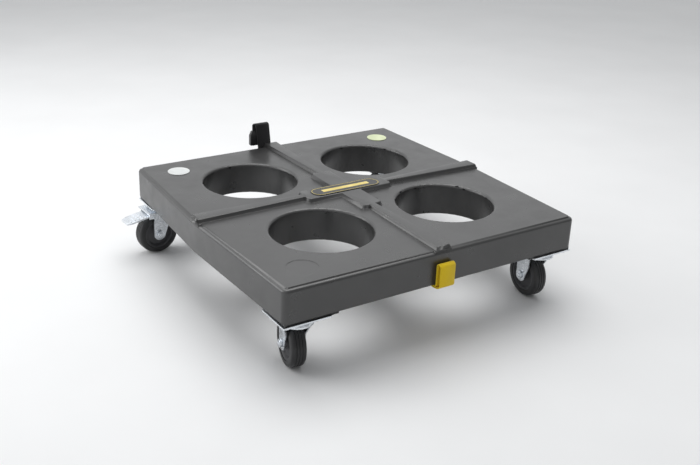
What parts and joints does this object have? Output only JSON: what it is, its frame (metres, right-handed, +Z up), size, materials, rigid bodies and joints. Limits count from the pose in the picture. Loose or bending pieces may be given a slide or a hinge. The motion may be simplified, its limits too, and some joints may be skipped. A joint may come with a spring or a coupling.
{
  "type": "wheeled case trolley",
  "caption": "Low square moulded trolley for carrying cases, with round through wells, a raised cross rib, webbing straps and swivel castors.",
  "frame": {"origin": "middle of the trolley's box, on the floor under the wheels", "axes": "+X to the right seen from the front, +Y from the yellow loop to the folded strap, +Z up"},
  "size_m": [0.8448, 0.7602, 0.2705],
  "materials": {
    "black_moulding": "fine grained moulded polyethylene",
    "zinc_plate": "bright zinc plated pressed steel",
    "tyre_rubber": "dull dark grey rubber",
    "hub_plastic": "moulded dark grey plastic",
    "yellow_webbing": "woven yellow webbing",
    "black_webbing": "woven black webbing",
    "buckle_plastic": "moulded black plastic",
    "plate_face": "black plate with a thin gold border",
    "pale_disc": "pale printed disc, left bare"
  },
  "bodies": {
    "root": {"deck_shell": "black_moulding", "vent_plug": "buckle_plastic", "nameplate": "plate_face", "disc_back_left": "pale_disc", "disc_back_right": "pale_disc", "front_loop": "yellow_webbing", "lashing_strap": "black_webbing", "strap_buckle": "buckle_plastic", "strap_screw_front": "zinc_plate", "strap_screw_back": "zinc_plate", "top_plate_front_left": "zinc_plate", "top_plate_front_right": "zinc_plate", "top_plate_back_left": "zinc_plate", "top_plate_back_right": "zinc_plate", "swivel_race_front_left": "zinc_plate", "swivel_race_front_right": "zinc_plate", "swivel_race_back_left": "zinc_plate", "swivel_race_back_right": "zinc_plate", "plate_bolt_front_left_1": "zinc_plate", "plate_bolt_front_left_2": "zinc_plate", "plate_bolt_front_left_3": "zinc_plate", "plate_bolt_front_left_4": "zinc_plate", "plate_bolt_front_right_1": "zinc_plate", "plate_bolt_front_right_2": "zinc_plate", "plate_bolt_front_right_3": "zinc_plate", "plate_bolt_front_right_4": "zinc_plate", "plate_bolt_back_left_1": "zinc_plate", "plate_bolt_back_left_2": "zinc_plate", "plate_bolt_back_left_3": "zinc_plate", "plate_bolt_back_left_4": "zinc_plate", "plate_bolt_back_right_1": "zinc_plate", "plate_bolt_back_right_2": "zinc_plate", "plate_bolt_back_right_3": "zinc_plate", "plate_bolt_back_right_4": "zinc_plate"},
    "castor_front_left": {"fork_front_left": "zinc_plate", "axle_bolt_front_left": "zinc_plate", "axle_nut_front_left": "zinc_plate"},
    "castor_front_right": {"fork_front_right": "zinc_plate", "axle_bolt_front_right": "zinc_plate", "axle_nut_front_right": "zinc_plate"},
    "castor_back_left": {"fork_back_left": "zinc_plate", "axle_bolt_back_left": "zinc_plate", "axle_nut_back_left": "zinc_plate", "pedal_pin_back_left": "zinc_plate"},
    "castor_back_right": {"fork_back_right": "zinc_plate", "axle_bolt_back_right": "zinc_plate", "axle_nut_back_right": "zinc_plate", "pedal_pin_back_right": "zinc_plate"},
    "wheel_front_left": {"tyre_front_left": "tyre_rubber", "wheel_hub_front_left": "hub_plastic"},
    "wheel_front_right": {"tyre_front_right": "tyre_rubber", "wheel_hub_front_right": "hub_plastic"},
    "wheel_back_left": {"tyre_back_left": "tyre_rubber", "wheel_hub_back_left": "hub_plastic"},
    "wheel_back_right": {"tyre_back_right": "tyre_rubber", "wheel_hub_back_right": "hub_plastic"},
    "pedal_back_left": {"brake_pedal_back_left": "zinc_plate"},
    "pedal_back_right": {"brake_pedal_back_right": "zinc_plate"}
  },
  "joints": [
    {"name": "swivel_front_left", "type": "hinge", "parent": "root", "child": "castor_front_left", "pos_m": [-0.3115, -0.32065, 0.115], "axis": [0, 0, 1], "continuous": true},
    {"name": "swivel_front_right", "type": "hinge", "parent": "root", "child": "castor_front_right", "pos_m": [0.3115, -0.32065, 0.115], "axis": [0, 0, 1], "continuous": true},
    {"name": "swivel_back_left", "type": "hinge", "parent": "root", "child": "castor_back_left", "pos_m": [-0.3115, 0.32035, 0.115], "axis": [0, 0, 1], "continuous": true},
    {"name": "swivel_back_right", "type": "hinge", "parent": "root", "child": "castor_back_right", "pos_m": [0.3115, 0.32035, 0.115], "axis": [0, 0, 1], "continuous": true},
    {"name": "roll_front_left", "type": "hinge", "parent": "castor_front_left", "child": "wheel_front_left", "pos_m": [-0.30616, -0.29316, 0.05], "axis": [-0.9816, 0.1908, 0], "continuous": true},
    {"name": "roll_front_right", "type": "hinge", "parent": "castor_front_right", "child": "wheel_front_right", "pos_m": [0.31443, -0.2928, 0.05], "axis": [-0.9945, 0.1045, 0], "continuous": true},
    {"name": "roll_back_left", "type": "hinge", "parent": "castor_back_left", "child": "wheel_back_left", "pos_m": [-0.33943, 0.3184, 0.05], "axis": [0.0698, -0.9976, 0], "continuous": true},
    {"name": "roll_back_right", "type": "hinge", "parent": "castor_back_right", "child": "wheel_back_right", "pos_m": [0.33943, 0.3184, 0.05], "axis": [0.0698, 0.9976, 0], "continuous": true},
    {"name": "brake_back_left", "type": "hinge", "parent": "castor_back_left", "child": "pedal_back_left", "pos_m": [-0.35938, 0.317, 0.102], "axis": [0.0698, -0.9976, 0], "range_deg": [0, 12]},
    {"name": "brake_back_right", "type": "hinge", "parent": "castor_back_right", "child": "pedal_back_right", "pos_m": [0.35938, 0.317, 0.102], "axis": [0.0698, 0.9976, 0], "range_deg": [0, 12]}
  ]
}
